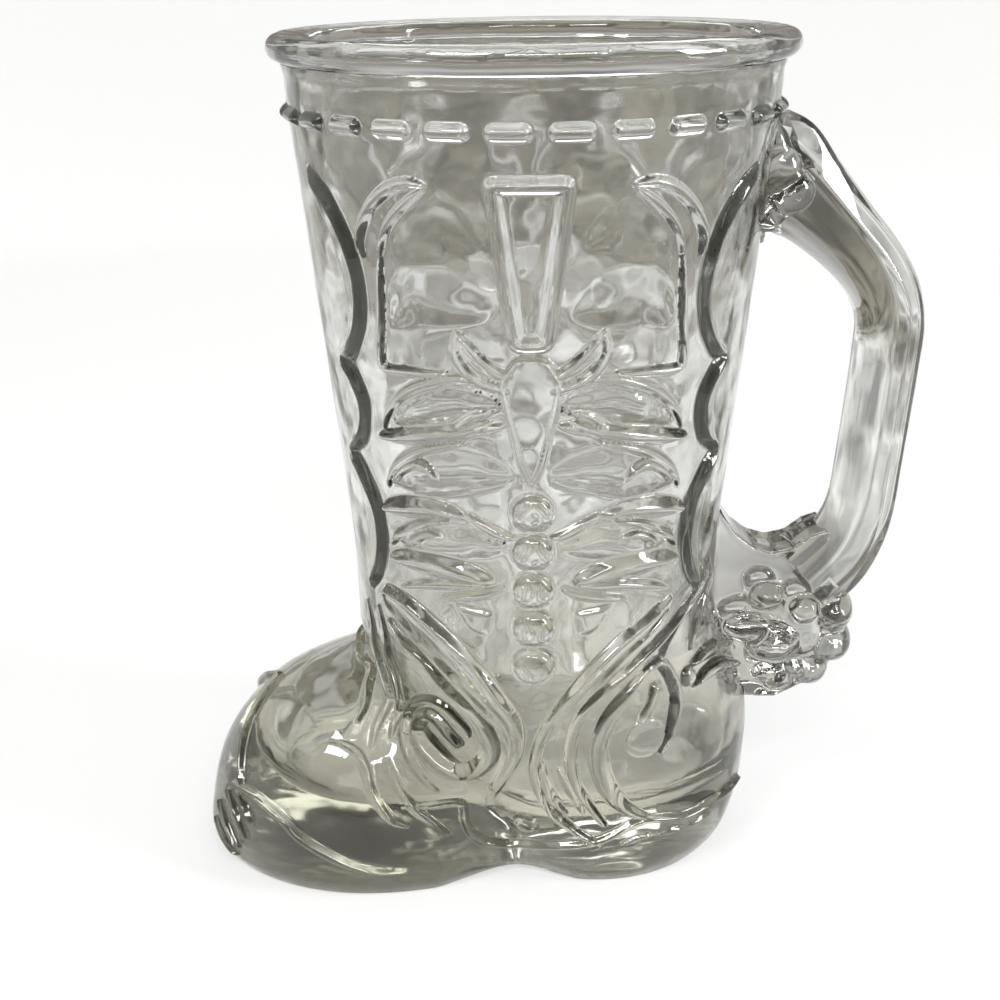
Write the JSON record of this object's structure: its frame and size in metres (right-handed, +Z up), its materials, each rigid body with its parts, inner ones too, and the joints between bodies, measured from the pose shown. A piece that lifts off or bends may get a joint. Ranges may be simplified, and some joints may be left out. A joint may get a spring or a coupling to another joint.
{
  "type": "beer boot glass",
  "caption": "Pressed-glass boot mug with a rolled rim, a hollow foot, a handle that ends on a spur at the heel, and raised western ornament.",
  "frame": {"origin": "on the table plane, under the middle of the glass's length and width", "axes": "+Z up through the mouth, -X towards the toe, +X towards the handle"},
  "size_m": [0.1358, 0.09, 0.152],
  "materials": {
    "thin_glass": "fire-polished clear soda glass",
    "thick_glass": "thick clear soda glass, faintly olive",
    "handle_glass": "solid clear soda glass",
    "relief_glass": "moulded relief in clear soda glass"
  },
  "bodies": {
    "root": {"rim": "thin_glass", "leg": "thin_glass", "foot": "thick_glass", "sole": "thick_glass", "heel": "thick_glass", "grip": "handle_glass", "handle_root": "handle_glass", "spur": "handle_glass", "stitches": "relief_glass", "pull_straps": "relief_glass", "skulls": "relief_glass", "studs": "relief_glass", "rib_darts": "relief_glass", "ankle_bands": "relief_glass", "scrolls": "relief_glass", "scallop_borders": "relief_glass", "foot_folds": "relief_glass"}
  },
  "joints": []
}
